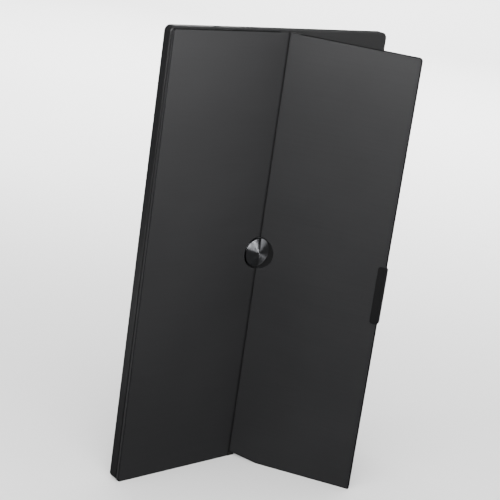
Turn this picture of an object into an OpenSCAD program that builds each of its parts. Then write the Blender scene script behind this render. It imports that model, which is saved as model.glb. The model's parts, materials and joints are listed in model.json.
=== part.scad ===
// Portable USB monitor, 15.6 inch, with a folding cover on its back.
// It stands upright on its short edge like an open book: one half of the cover lies flat on
// the back, and the other half is folded out along the middle as the supporting leg.
// +X runs across the short side, +Z up the long side, and the screen faces +Y.
// The origin is the middle of the monitor's bottom face. All sizes are in millimetres.

/* [Monitor body] */
// Thickness of the monitor without its cover
body_t = 8.5; // [8.3:0.1:10]
// Radius of the monitor's four corners
body_corner_r = 5; // [3:0.5:8]
// Radius of the rounded edge round the back
back_edge_r = 1.2; // [0.6:0.1:1.4]
// Radius of the rounded edge round the front
bezel_edge_r = 0.6; // [0.3:0.1:1]
// Thickness of the rear housing's back wall
back_wall = 1.5; // [1.2:0.1:1.6]
// Thickness of the rear housing's side walls
side_wall = 1.6; // [1.4:0.1:2]
// Thickness of the bezel's front plate
bezel_t = 1.2; // [1:0.1:1.3]

/* [Screen] */
// Short side of the picture area
active_w = 193.6; // [188:0.2:196]
// Long side of the picture area
active_h = 344.2; // [330:0.2:346]
// Width of the narrow long border, between body edge and picture area
narrow_border = 14; // [13:0.5:16]
// Gap between the driver board and the button board, in the wide long border
board_gap = 1.85; // [0.5:0.05:4]
// Gap between the picture area and the edge of the window
window_margin = 0.5; // [0.2:0.1:1]
// Size of the bevel round the window
window_bevel = 0.6; // [0.3:0.1:0.9]

/* [Panel stack] */
// Thickness of the foam gasket between bezel and glass
gasket_t = 0.4; // [0.3:0.1:0.6]
// Width of the foam gasket
gasket_w = 1.2; // [0.8:0.1:1.4]
// Thickness of the liquid crystal cell, its two glasses and polarisers
cell_t = 1.3; // [1:0.1:1.4]
// Rim of the cell beyond the picture area
cell_rim = 3.5; // [3:0.1:4]
// Thickness of the diffuser and prism films
film_t = 0.5; // [0.3:0.1:0.6]
// Thickness of the light guide
guide_t = 1.8; // [1.4:0.1:2]
// Rim of the light guide beyond the picture area
guide_rim = 1.6; // [1.2:0.1:1.8]
// Thickness of the reflector sheet
reflector_t = 0.2; // [0.1:0.05:0.3]
// Thickness of the panel's steel tray
tray_t = 0.3; // [0.2:0.05:0.4]
// Wall of the panel's moulded frame, outside the glass
frame_wall = 1; // [0.8:0.1:1.3]
// Width of each foam tape behind the panel
tape_w = 10; // [6:1:14]
// Number of light emitting diodes along the light guide
led_count = 24; // [12:1:32]
// Length of one diode along the guide
led_len = 3.6; // [2:0.2:5]
// Depth of one diode, from its board to the guide
led_depth = 0.8; // [0.5:0.1:1]
// Height of one diode
led_h = 1.2; // [0.8:0.1:1.3]
// Thickness of the diodes' board
led_board_t = 0.4; // [0.3:0.05:0.6]

/* [Circuit boards] */
// Thickness of the main board
main_board_t = 1; // [0.8:0.1:1]
// Length of the main board
main_board_l = 124; // [110:1:140]
// Width of the main board
main_board_w = 9.5; // [9:0.1:10]
// Radius of the screws that hold the main board
screw_r = 0.8; // [0.6:0.05:0.9]
// Radius of the screw heads
screw_head_r = 1.5; // [1.2:0.1:1.8]
// Height of the screw heads
screw_head_h = 0.6; // [0.4:0.1:0.8]
// Radius of the bosses under the main board
boss_r = 1.9; // [1.6:0.1:2.2]
// Length of the screened part of the main board
shield_l = 34; // [24:1:40]
// Width of the screening can
shield_w = 7.6; // [6:0.2:8.4]
// Height of the screening can
shield_h = 1.8; // [1.2:0.1:2.4]
// Sheet thickness of the screening can
shield_sheet = 0.2; // [0.15:0.05:0.3]
// Width of the panel's driver board
driver_board_w = 10; // [8:0.5:11]
// Length of the panel's driver board
driver_board_l = 316; // [280:2:330]
// Thickness of the driver and button boards
small_board_t = 0.8; // [0.6:0.1:1]
// Number of flexible links between glass and driver board
flex_count = 4; // [3:1:6]
// Width of one flexible link
flex_w = 36; // [20:1:44]
// Thickness of the flexible links and flat cables
flex_t = 0.2; // [0.15:0.05:0.3]
// Width of the flat cables
cable_w = 5; // [3:0.5:6]

/* [Ports] */
// Width of the data and power socket, a micro-B receptacle of the wide kind
port_w = 12.2; // [11.8:0.1:12.6]
// Height of the socket
port_h = 2.6; // [2.4:0.1:2.8]
// Depth of the socket
port_depth = 6; // [5:0.1:6.4]
// Wall of the socket's steel shell
port_shell = 0.25; // [0.2:0.05:0.35]
// Width of the larger of the socket's two chambers
port_main_w = 7; // [6.6:0.1:7.4]
// Width of the web between the two chambers
port_web = 0.7; // [0.5:0.1:0.9]
// Thickness of the contact tongues
tongue_t = 0.6; // [0.4:0.05:0.7]
// Place of the socket's middle across the top edge
port_x = -34.7; // [-40:0.1:-20]
// How far the socket's mouth lies inside the top edge
port_recess = 0.2; // [0.2:0.1:0.8]
// Width of the lock slot
lock_w = 6.5; // [5:0.1:7.5]
// Height of the lock slot
lock_h = 2.6; // [2:0.1:2.8]
// Place of the lock slot's middle across the top edge
lock_x = -70.5; // [-80:0.5:-60]
// Thickness of the steel plate behind the lock slot
lock_plate_t = 1.2; // [0.8:0.1:1.6]
// Rim of the steel plate round the lock slot
lock_plate_rim = 2.5; // [1.5:0.1:4]
// Wall of the plate's collar, which lines the lock slot
lock_collar_t = 0.35; // [0.25:0.05:0.45]

/* [Buttons] */
// Width of a button cap
button_w = 4; // [3:0.2:4.6]
// Length of a button cap
button_l = 11; // [8:0.5:14]
// How far a button cap stands out of the bezel
button_proud = 0.4; // [0.2:0.1:0.8]
// Travel of a button
button_travel = 0.4; // [0.2:0.05:0.5]
// Height of the power button's middle above the bottom edge
power_z = 42; // [36:1:48]
// Distance between the middles of the two buttons
button_pitch = 20; // [17:0.5:26]
// Thickness of the flange that keeps a cap in the bezel
button_flange_t = 0.5; // [0.4:0.05:0.6]
// Rim of that flange round the cap
button_flange_rim = 0.7; // [0.5:0.1:0.9]
// Side of a button's switch
switch_w = 3.5; // [3:0.1:4]
// Height of a button's switch
switch_h = 1.4; // [1:0.1:1.5]
// Height of the switch's plunger
plunger_h = 0.35; // [0.2:0.05:0.5]
// Radius of the switch's plunger
plunger_r = 0.9; // [0.6:0.1:1.2]
// Radius of the power light's lens
lens_r = 0.9; // [0.6:0.1:1.2]
// Distance of the power light from the power button's middle
lens_pitch = 11; // [9:0.5:14]
// Side of the power light's diode
light_w = 1.6; // [1:0.1:2]

/* [Hub] */
// Radius of the spun metal hub
hub_r = 12.5; // [10:0.1:13]
// Height of the hub's rim above the cover
hub_rim_proud = 0.2; // [0.1:0.1:0.6]
// Height of the hub's tip above the cover
hub_tip_proud = 2.5; // [1.5:0.1:3]
// Chamfer round the hub's rim
hub_chamfer = 0.3; // [0.1:0.1:0.6]
// Radius of the hub's spigot
spigot_r = 3; // [2:0.1:4]
// Length of the spigot inside the housing
spigot_l = 0.9; // [0.7:0.1:1]
// Wall of the hollow hub
hub_wall = 1.4; // [1:0.1:2]
// Radius of the push-on washer inside the housing
washer_r = 6; // [5:0.1:8]
// Thickness of the push-on washer
washer_t = 0.5; // [0.3:0.1:0.6]
// Radius of the round hole in the cover, half in each panel
hub_hole_r = 14.25; // [14:0.05:16]

/* [Cover] */
// Thickness of the cover's outer skin
skin_t = 0.6; // [0.5:0.05:0.8]
// Thickness of the boards that stiffen the cover
board_t = 2.1; // [1.8:0.1:2.6]
// Thickness of the flap's lining
lining_t = 0.6; // [0.4:0.1:0.8]
// Gap between the closed flap and the monitor's back
closed_gap = 0.3; // [0.2:0.05:0.5]
// How far the fixed panel stays inside the monitor's long edge
cover_side_inset = 0.3; // [0.2:0.1:1]
// How far the cover stays below the monitor's top edge
cover_top_inset = 1; // [0.4:0.1:2]
// How far the flap's free edge stays inside the monitor's long edge
flap_inset = 4.6; // [3:0.1:12]
// Angle by which the flap stands open from its closed place
flap_open = 60; // [30:1:90]
// Radius of the cover's outer corners
cover_corner_r = 3; // [2:0.1:5]
// Radius of the flap's bottom corner, on which it stands
flap_toe_r = 1; // [0.8:0.1:2]
// Rim of the board that shows round the skin
skin_inset = 0.9; // [0.2:0.1:1.2]
// Rim of the board that shows round the lining
lining_inset = 1.5; // [1:0.1:3]
// Height of the slanting cut at the bottom of the flap, at the fold
toe_cut_h = 4.9; // [4.4:0.1:7]
// Length of that cut along the flap
toe_cut_l = 26.8; // [22:0.2:34]
// Height of the rubber foot under the fold
foot_h = 3; // [2:0.1:3.2]
// Length of the rubber foot past the fold
foot_l = 7; // [4:0.5:8]

/* [Hinge] */
// Radius of the round bead that the flap turns on
bead_r = 0.8; // [0.6:0.05:0.9]
// Running clearance between the bead and the flap's hinge leaf
bead_clearance = 0.05; // [0.03:0.01:0.1]
// How deep the bead's flat side lies below the cover's outer face
bead_recess = 0.15; // [0.1:0.05:0.3]
// Thickness of the hinge strip's glued flange
strip_t = 0.4; // [0.3:0.05:0.5]
// Width of the hinge strip's glued flange
strip_w = 9; // [6:0.5:12]
// Half of the gap between the two halves of the cover below the bead
fold_gap = 0.2; // [0.15:0.05:0.3]

/* [Edge grip] */
// Length of the grip on the flap's free edge
grip_l = 50.6; // [40:0.2:60]
// Width of the grip on the outer face
grip_w = 6.6; // [5:0.1:9]
// Thickness of the grip's legs
grip_t = 0.5; // [0.4:0.05:0.55]
// How far the grip stands out past the free edge
grip_nose = 1.2; // [0.8:0.1:2]
// Radius of the grip's corners
grip_r = 2.5; // [1:0.1:3]
// How far the grip's middle lies below the middle of the body
grip_drop = 12.2; // [0:0.2:20]

/* [Magnets] */
// Radius of the magnets in the cover
magnet_r = 6; // [4:0.5:8]
// Thickness of the magnets
magnet_t = 1.2; // [0.8:0.1:1.5]
// Distance of the magnets from the monitor's long edges
magnet_edge = 18; // [14:1:24]
// Distance of the end magnets from the body's middle
magnet_reach = 146; // [120:1:160]
// Thickness of the steel plates behind the housing's back wall
catch_t = 0.6; // [0.4:0.1:0.8]

/* [Clearances] */
// Gap round a button cap
button_gap = 0.25; // [0.2:0.05:0.35]
// Gap round pieces that are placed by ribs or rims
fit_gap = 0.15; // [0.1:0.05:0.25]
// Radial gap round a pressed or screwed pin
pin_gap = 0.05; // [0.03:0.01:0.1]
// Gap between pieces that must not touch
free_gap = 0.3; // [0.2:0.05:0.4]

/* [Snap joint] */
// Thickness of the bezel's skirt
skirt_t = 1; // [0.8:0.1:1.2]
// Depth of the bezel's skirt inside the housing
skirt_depth = 1.5; // [1.2:0.1:1.6]
// Length of one snap hook
hook_l = 8; // [5:0.5:12]
// Reach of one snap hook into the side wall
hook_reach = 0.5; // [0.3:0.05:0.6]
// Number of snap hooks on each long side
long_hooks = 6; // [4:1:8]
// Number of snap hooks on each short side
short_hooks = 3; // [2:1:3]
// Thickness of the ribs inside the housing
rib_t = 1; // [0.8:0.1:1.4]
// Length of one locating rib round the panel
rib_l = 16; // [8:1:24]
// Number of locating ribs on each side of the panel
rib_count = 4; // [3:1:6]

/* [Hidden] */
$fn = 48;

// Borders as wide as what lies in them, and the body round them
frame_rim = cell_rim + fit_gap + frame_wall + tray_t;
wide_border = frame_rim + free_gap + flex_t + free_gap + driver_board_w + board_gap
    + 2 * button_w + 2 * free_gap + side_wall;
end_border = frame_rim + fit_gap + rib_t + free_gap + main_board_w + free_gap
    + fit_gap + skirt_t + fit_gap + side_wall;
body_w = narrow_border + active_w + wide_border;
body_h = active_h + 2 * end_border;

// Planes of the body, from back to front
back_y = -body_t / 2;
front_y = body_t / 2;
inner_back_y = back_y + back_wall;
seam_y = front_y - bezel_t;
left_x = -body_w / 2;
right_x = body_w / 2;
mid_z = body_h / 2;
inner_right_x = right_x - side_wall;
inner_top_z = body_h - side_wall;
inner_corner_r = body_corner_r - side_wall;

// Picture area and window
active_x0 = left_x + narrow_border;
active_x1 = active_x0 + active_w;
active_z0 = end_border;
active_z1 = active_z0 + active_h;

// Planes of the panel stack, from the bezel backwards
cell_front_y = seam_y - gasket_t;
cell_back_y = cell_front_y - cell_t;
film_back_y = cell_back_y - film_t;
guide_back_y = film_back_y - guide_t;
reflector_back_y = guide_back_y - reflector_t;
tray_back_y = reflector_back_y - tray_t;

// Outlines as [x0, x1, z0, z1]
function grown(box, by) = [box[0] - by, box[1] + by, box[2] - by, box[3] + by];
body_box = [left_x, right_x, 0, body_h];
inner_box = grown(body_box, -side_wall);
skirt_box = grown(inner_box, -fit_gap);
active_box = [active_x0, active_x1, active_z0, active_z1];
window_box = grown(active_box, window_margin);
gasket_box = grown(window_box, fit_gap);
cell_box = grown(active_box, cell_rim);
guide_box = grown(active_box, guide_rim);
tray_box = grown(active_box, frame_rim);
frame_box = grown(tray_box, -tray_t);

// Backlight, between the light guide and the panel's frame
led_x0 = guide_box[1];
led_board_x = led_x0 + led_depth;
backlight_x1 = led_board_x + led_board_t;

// Circuit boards on their ribs and bosses
driver_x0 = tray_box[1] + 2 * free_gap + flex_t;
driver_x1 = driver_x0 + driver_board_w;
driver_front_y = tray_back_y + small_board_t;
driver_z0 = mid_z - driver_board_l / 2;
driver_z1 = mid_z + driver_board_l / 2;
port_y = back_y / 8;
main_back_y = port_y + port_h / 2;
main_front_y = main_back_y + main_board_t;
main_z1 = inner_top_z - fit_gap - skirt_t - fit_gap - free_gap;
main_z0 = main_z1 - main_board_w;
main_mid_z = (main_z0 + main_z1) / 2;
screw_xs = [-main_board_l / 2 + 2 * boss_r, main_board_l / 2 - 2 * boss_r];
shield_x = main_board_l / 2 - 4 * boss_r - shield_l;

// Socket and lock slot, and their holes in the top wall, round their own middles
port_z1 = body_h - port_recess;
port_z0 = port_z1 - port_depth;
port_hole = grown([-port_w / 2, port_w / 2, -port_h / 2, port_h / 2], port_recess);
lock_hole = [-lock_w / 2, lock_w / 2, -lock_h / 2, lock_h / 2];
collar_box = grown(lock_hole, lock_collar_t);
collar_r = lock_h / 4 + lock_collar_t;

// Button caps, their board and their switches
button_board_x1 = inner_right_x - 2 * free_gap;
button_x = button_board_x1 - button_w;
brightness_z = power_z + button_pitch;
lens_z = power_z - lens_pitch;
button_zs = [power_z, brightness_z];
button_board_x0 = button_x - button_w;
button_board_z0 = lens_z - button_l / 2;
button_board_z1 = brightness_z + button_l;
button_board_y = tray_back_y + small_board_t;
switch_top_y = button_board_y + switch_h;
plunger_top_y = switch_top_y + plunger_h;
cap_end_y = plunger_top_y + fit_gap + button_travel;
flange_front_y = seam_y - fit_gap;
flange_back_y = flange_front_y - button_flange_t;

// Cover, from the back of the housing outwards
cover_t = skin_t + board_t + lining_t + closed_gap;
cover_y = back_y - cover_t;
board_outer_y = cover_y + skin_t;
board_inner_y = board_outer_y + board_t;
cover_h = body_h - cover_top_inset;
cover_x0 = left_x + cover_side_inset;
flap_w = right_x - flap_inset;
bead_edge = bead_r + bead_clearance;
grip_z = mid_z - grip_drop;
grip_box = [flap_w - grip_w, flap_w + grip_nose, grip_z - grip_l / 2, grip_z + grip_l / 2];

// Snap hooks along the sides
function spread(count, length) = [for (i = [1:count]) length * (i - 0.5) / count];
hook_zs = spread(long_hooks, body_h);
hook_xs = [for (x = spread(short_hooks, body_w)) left_x + x];
hook_top = skirt_depth / 4;
skirt_back_y = seam_y - skirt_depth;

// Magnets and the plates that they hold on to
magnet_zs = [mid_z - magnet_reach, mid_z, mid_z + magnet_reach];
fixed_magnet_x = left_x + magnet_edge;
flap_magnet_x = active_x1 - magnet_r;
tape_xs = [active_x0 + active_w * 0.3, active_x0 + active_w * 0.7];

// ---- shared shapes ----

// A sketch in X and Z, made solid from y0 towards the screen by t
module plate(y0, t) {
    translate([0, y0 + t, 0]) rotate([90, 0, 0]) linear_extrude(t) children();
}

// A plain block between two corners
module block(low, high) {
    translate(low) cube(high - low);
}

// A round pin along Y, from y0 to y1
module pin_y(x, z, y0, y1, r) {
    translate([x, y1, z]) rotate([90, 0, 0]) cylinder(r = r, h = y1 - y0);
}

// Rectangle in a sketch, given as [x0, x1, z0, z1]
module rect(box) {
    translate([box[0], box[2]]) square([box[1] - box[0], box[3] - box[2]]);
}

// The same rectangle with round corners
module round_rect(box, r) {
    rect([box[0] + r, box[1] - r, box[2], box[3]]);
    rect([box[0], box[1], box[2] + r, box[3] - r]);
    for (x = [box[0] + r, box[1] - r], z = [box[2] + r, box[3] - r])
        translate([x, z]) circle(r);
}

// A flat ring between a rectangle and the same one grown by w
module rect_ring(box, w) {
    difference() {
        rect(grown(box, w));
        rect(box);
    }
}

// Slot outline with round ends, upright, centred on the origin
module stadium(w, l) {
    square([w, l - w], center = true);
    for (end = [-1, 1]) translate([0, end * (l - w) / 2]) circle(w / 2);
}

// Edge profile with one rounded corner: x outwards from the corner's centre, y backwards
module edge_profile(reach, depth, r, at_front) {
    rounded_y = at_front ? r : depth - r;
    square([reach - r, depth]);
    translate([0, at_front ? r : 0]) square([reach, depth - r]);
    translate([reach - r, rounded_y]) circle(r);
}

// Upright slab with round corners, swept round its outline from the edge profile
module profiled_slab(box, reach, y_front, depth) {
    w = box[1] - box[0] - 2 * reach;
    h = box[3] - box[2] - 2 * reach;
    corners = [[w, h], [0, h], [0, 0], [w, 0]];
    sides = [[[w, 0], h], [[w, h], w], [[0, h], h], [[0, 0], w]];
    translate([box[0] + reach, y_front, box[2] + reach]) rotate([90, 0, 0]) {
        cube([w, h, depth]);
        for (i = [0:3]) {
            translate(corners[i]) rotate(i * 90) rotate_extrude(angle = 90) children();
            translate(sides[i][0]) rotate(i * 90) translate([0, sides[i][1], 0])
                rotate([90, 0, 0]) linear_extrude(sides[i][1]) children();
        }
    }
}

// Turns what is drawn closed on the back to the angle at which the flap stands open
module opened() {
    translate([0, cover_y, 0]) rotate([0, 0, -flap_open]) translate([0, -cover_y, 0])
        children();
}

// ---- monitor: housing and bezel ----

// Puts a shape drawn outwards along x, and backwards along z, on each snap hook's place
module at_hooks() {
    places = concat(
        [for (z = hook_zs) [skirt_box[1], z, 0]], [for (x = hook_xs) [x, skirt_box[3], 90]],
        [for (z = hook_zs) [skirt_box[0], z, 180]], [for (x = hook_xs) [x, skirt_box[2], 270]]
    );
    for (place = places) translate([place[0], seam_y, place[1]]) rotate([90, 0, 0])
        rotate(place[2]) children();
}

// One snap hook: a flat catch towards the front and a ramp towards the back
module hook() {
    translate([-fit_gap, hook_l / 2, 0]) rotate([90, 0, 0]) linear_extrude(hook_l)
        polygon([
            [0, hook_top], [fit_gap + hook_reach, hook_top],
            [fit_gap + hook_reach, hook_top + hook_reach], [fit_gap, skirt_depth],
            [0, skirt_depth]
        ]);
}

// The pocket for one snap hook in the housing's side wall
module hook_pocket() {
    length = hook_l + 2 * fit_gap;
    translate([0, -length / 2, hook_top - fit_gap])
        cube([hook_reach + fit_gap, length, skirt_depth - hook_top + 2 * fit_gap]);
}

// Ribs inside the housing that hold the panel, its driver board and the button board
module housing_ribs() {
    rib_top_y = tray_back_y + rib_t;
    holder = grown(tray_box, fit_gap);
    for (z = spread(rib_count, body_h))
        block([holder[0] - rib_t, inner_back_y, z - rib_l / 2],
              [holder[0], rib_top_y, z + rib_l / 2]);
    for (x = spread(rib_count, body_w), side = [0, 1])
        block([left_x + x - rib_l / 2, inner_back_y, side ? holder[3] : holder[2] - rib_t],
              [left_x + x + rib_l / 2, rib_top_y, side ? holder[3] + rib_t : holder[2]]);
    for (z = [driver_z0, mid_z - rib_l, mid_z + rib_l, driver_z1 - rib_t])
        block([driver_x0, inner_back_y, z], [driver_x1, tray_back_y, z + rib_t]);
    for (z = [button_board_z0, button_board_z1 - 2 * rib_t])
        block([button_board_x0, inner_back_y, z],
              [button_board_x1 - cable_w - free_gap, tray_back_y, z + 2 * rib_t]);
}

module rear_housing() color("#2e2f31") {
    depth = seam_y - back_y;
    difference() {
        union() {
            difference() {
                profiled_slab(body_box, body_corner_r, seam_y, depth)
                    edge_profile(body_corner_r, depth, back_edge_r, false);
                plate(inner_back_y, body_t) round_rect(inner_box, inner_corner_r);
            }
            housing_ribs();
            for (x = screw_xs) pin_y(x, main_mid_z, inner_back_y, main_back_y, boss_r);
        }
        for (x = screw_xs)
            pin_y(x, main_mid_z, inner_back_y, main_front_y, screw_r + pin_gap);
        pin_y(0, mid_z, back_y - body_t, front_y, spigot_r + pin_gap);
        at_hooks() hook_pocket();
        translate([port_x, port_y, inner_top_z - side_wall]) linear_extrude(body_t)
            round_rect(port_hole, port_h / 4);
        translate([lock_x, port_y, inner_top_z - side_wall]) linear_extrude(body_t)
            round_rect(grown(collar_box, pin_gap), collar_r + pin_gap);
    }
}

// Plate with the screen's window, and the skirt with its hooks that snaps into the housing
module front_bezel() color("#1c1d1f") difference() {
    union() {
        profiled_slab(body_box, body_corner_r, front_y, bezel_t)
            edge_profile(body_corner_r, bezel_t, bezel_edge_r, true);
        plate(skirt_back_y, skirt_depth) difference() {
            round_rect(skirt_box, inner_corner_r - fit_gap);
            round_rect(grown(skirt_box, -skirt_t), inner_corner_r - fit_gap - skirt_t);
        }
        at_hooks() hook();
    }
    plate(skirt_back_y, body_t) rect(window_box);
    hull() {
        plate(front_y, bezel_t) rect(grown(window_box, window_bevel));
        plate(front_y - window_bevel, bezel_t + window_bevel) rect(window_box);
    }
    for (z = button_zs) plate(skirt_back_y, body_t) translate([button_x, z])
        stadium(button_w + 2 * button_gap, button_l + 2 * button_gap);
    pin_y(button_x, lens_z, skirt_back_y, front_y + bezel_t, lens_r + pin_gap);
}

// ---- monitor: the screen and its backlight ----

module screen_gasket() color("#111111") plate(cell_front_y, gasket_t)
    rect_ring(gasket_box, gasket_w);

module lcd_cell() color("#0b0c10") plate(cell_back_y, cell_t) rect(cell_box);

module film_stack() color("#e9ecef") plate(film_back_y, film_t) rect(guide_box);

module light_guide() color("#dfe8ee") plate(guide_back_y, guide_t) rect(guide_box);

module reflector_sheet() color("#f4f4f4") plate(reflector_back_y, reflector_t)
    rect(guide_box);

// Moulded frame: a deep well for the light guide and a shallow one for the glass
module panel_frame() color("#d8d8d4") difference() {
    plate(reflector_back_y, cell_front_y - reflector_back_y) rect(frame_box);
    plate(reflector_back_y - cell_t, body_t)
        rect(grown([guide_box[0], backlight_x1, guide_box[2], guide_box[3]], fit_gap));
    plate(cell_back_y, body_t) rect(grown(cell_box, fit_gap));
}

module panel_tray() color("silver") {
    plate(tray_back_y, tray_t) rect(tray_box);
    plate(reflector_back_y, cell_back_y - reflector_back_y) rect_ring(frame_box, tray_t);
}

module panel_tapes() color("#404040") for (x = tape_xs)
    plate(inner_back_y, tray_back_y - inner_back_y)
        rect([x - tape_w / 2, x + tape_w / 2, active_z0, active_z1]);

// Row of diodes on their narrow board, along the light guide's edge
module backlight_bar() color("#f2e6a0") {
    block([led_board_x, reflector_back_y, guide_box[2]],
          [backlight_x1, film_back_y, guide_box[3]]);
    led_y = (guide_back_y + film_back_y - led_h) / 2;
    for (z = spread(led_count, active_h))
        block([led_x0, led_y, active_z0 + z - led_len / 2],
              [led_board_x, led_y + led_h, active_z0 + z + led_len / 2]);
}

// ---- monitor: circuit boards and cables ----

module driver_board() color("#1f5d3a") {
    block([driver_x0, tray_back_y, driver_z0], [driver_x1, driver_front_y, driver_z1]);
    for (z = spread(flex_count - 1, driver_board_l))
        block([driver_x1 - driver_board_w / 2, driver_front_y, driver_z0 + z - cable_w],
              [driver_x1 - rib_t, driver_front_y + small_board_t, driver_z0 + z + cable_w]);
}

// Flexible links from the front of the glass, round the panel's edge to the driver board
module driver_flexes() color("#b5651d") for (z = spread(flex_count, driver_board_l)) {
    z0 = driver_z0 + z - flex_w / 2;
    z1 = z0 + flex_w;
    outer_x = driver_x0 - free_gap;
    block([gasket_box[1] + gasket_w + fit_gap, cell_front_y, z0],
          [outer_x, cell_front_y + flex_t, z1]);
    block([outer_x - flex_t, driver_front_y, z0], [outer_x, cell_front_y + flex_t, z1]);
    block([outer_x - flex_t, driver_front_y, z0],
          [driver_x0 + boss_r, driver_front_y + flex_t, z1]);
}

module main_board() color("#1f5d3a") difference() {
    union() {
        block([-main_board_l / 2, main_back_y, main_z0],
              [main_board_l / 2, main_front_y, main_z1]);
        block([shield_x + shield_w, main_back_y - shield_h / 2, main_mid_z - shield_w / 3],
              [shield_x + 2 * shield_w, main_back_y, main_mid_z + shield_w / 3]);
    }
    for (x = screw_xs) pin_y(x, main_mid_z, main_back_y - boss_r, front_y, screw_r + fit_gap);
}

module shield_can() color("#b9bcc0") difference() {
    block([shield_x, main_back_y - shield_h, main_mid_z - shield_w / 2],
          [shield_x + shield_l, main_back_y, main_mid_z + shield_w / 2]);
    block([shield_x + shield_sheet, main_back_y - shield_h + shield_sheet,
           main_mid_z - shield_w / 2 + shield_sheet],
          [shield_x + shield_l - shield_sheet, main_front_y,
           main_mid_z + shield_w / 2 - shield_sheet]);
}

module board_screws() color("#9a9da1") for (x = screw_xs) {
    pin_y(x, main_mid_z, inner_back_y + fit_gap, main_front_y, screw_r);
    pin_y(x, main_mid_z, main_front_y, main_front_y + screw_head_h, screw_head_r);
}

// Flat cable from the main board, past the panel's corner, down to the driver board
module panel_cable() color("#e8e4d8") {
    run_x0 = main_board_l / 2 - boss_r;
    drop_x1 = driver_x1 - rib_t;
    drop_z0 = driver_z1 - cable_w;
    run_z1 = main_z0 + cable_w;
    block([run_x0, main_front_y, main_z0], [drop_x1, main_front_y + flex_t, run_z1]);
    block([drop_x1 - cable_w, main_front_y, drop_z0],
          [drop_x1, main_front_y + flex_t, run_z1]);
    block([drop_x1 - cable_w, driver_front_y, drop_z0],
          [drop_x1, main_front_y + flex_t, drop_z0 + flex_t]);
}

module button_board() color("#1f5d3a")
    block([button_board_x0, tray_back_y, button_board_z0],
          [button_board_x1, button_board_y, button_board_z1]);

module button_switches() color("#c9ccd1") for (z = button_zs) {
    block([button_x - switch_w / 2, button_board_y, z - switch_w / 2],
          [button_x + switch_w / 2, switch_top_y, z + switch_w / 2]);
    pin_y(button_x, z, switch_top_y, plunger_top_y, plunger_r);
}

// Flat cable from the back of the button board, along the back wall, to the main board
module button_cable() color("#e8e4d8") {
    low_z = button_board_z1 - cable_w;
    x0 = button_board_x1 - cable_w;
    end_x = main_board_l / 2;
    flat_y = inner_back_y + flex_t;
    block([x0, inner_back_y, low_z], [button_board_x1, flat_y, main_z0 + cable_w]);
    block([x0, inner_back_y, low_z], [button_board_x1, tray_back_y, low_z + flex_t]);
    block([end_x - flex_t, inner_back_y, main_z0], [x0 + cable_w, flat_y, main_z0 + cable_w]);
    block([end_x - flex_t, inner_back_y, main_z0], [end_x, main_back_y, main_z0 + cable_w]);
}

module power_light() color("#f7f7ff")
    block([button_x - light_w / 2, button_board_y, lens_z - light_w / 2],
          [button_x + light_w / 2, button_board_y + light_w / 2, lens_z + light_w / 2]);

module light_lens() color("#d7ecff") {
    pin_y(button_x, lens_z, button_board_y + light_w / 2 + fit_gap, front_y, lens_r);
    pin_y(button_x, lens_z, seam_y - button_flange_t, seam_y, lens_r + button_flange_rim);
}

// ---- monitor: socket and lock slot in the top edge ----

// The socket's outline: two chambers side by side, the larger one with cut corners
module port_outline(grow) {
    half_w = port_w / 2 + grow;
    half_h = port_h / 2 + grow;
    bevel = port_h / 4;
    main_x = port_main_w - port_w / 2 + grow;
    side_x = port_main_w + port_web - port_w / 2 - grow;
    polygon([
        [-half_w, bevel - half_h], [bevel - half_w, -half_h], [main_x - bevel, -half_h],
        [main_x, bevel - half_h], [main_x, -grow], [side_x, -grow], [side_x, -half_h],
        [half_w, -half_h], [half_w, half_h], [-half_w, half_h]
    ]);
}

// A sketch in X and Y, extruded upwards at the socket's place
module at_port(z0, z1) {
    translate([port_x, port_y, z0]) linear_extrude(z1 - z0) children();
}

module usb_shell() color("#3a3b3e") difference() {
    at_port(port_z0, port_z1) port_outline(0);
    at_port(port_z0 - port_recess, port_z1 + port_recess) port_outline(-port_shell);
}

// Insulator: a block at the back of the shell and a contact tongue in each chamber
module usb_tongue() color("#15171a") {
    back_z1 = port_z0 + port_depth / 4;
    main_mid = (port_main_w - port_w) / 2;
    side_w = port_w - port_main_w - port_web;
    side_mid = (port_w - side_w) / 2;
    at_port(port_z0, back_z1) port_outline(-port_shell);
    at_port(back_z1, port_z1 - port_recess) {
        translate([main_mid, 0]) square([port_main_w - port_h, tongue_t], center = true);
        translate([side_mid, 0]) square([side_w - port_h / 2, tongue_t], center = true);
    }
}

// Steel plate under the top wall, with a drawn collar through the wall that lines the slot
module lock_plate() color("#2a2b2d") difference() {
    union() {
        block([lock_x - lock_w / 2 - lock_plate_rim, inner_back_y, inner_top_z - lock_plate_t],
              [lock_x + lock_w / 2 + lock_plate_rim, skirt_back_y - free_gap, inner_top_z]);
        translate([lock_x, port_y, inner_top_z - lock_plate_t])
            linear_extrude(lock_plate_t + side_wall - fit_gap) round_rect(collar_box, collar_r);
    }
    translate([lock_x, port_y, inner_top_z - body_t]) linear_extrude(2 * body_t)
        round_rect(lock_hole, lock_h / 4);
}

// ---- monitor: the moving buttons ----

// Cap through the bezel, its retaining flange behind, and the stem that meets the switch
module button_cap(z) {
    plate(flange_back_y, front_y + button_proud - flange_back_y) translate([button_x, z])
        stadium(button_w, button_l);
    plate(flange_back_y, button_flange_t) translate([button_x, z])
        stadium(button_w + 2 * button_flange_rim, button_l + 2 * button_flange_rim);
    pin_y(button_x, z, cap_end_y, flange_back_y, plunger_r);
}

module power_button() color("#3a3b3d") button_cap(power_z);

module brightness_button() color("#3a3b3d") button_cap(brightness_z);

// ---- monitor: hub and catch plates ----

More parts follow.
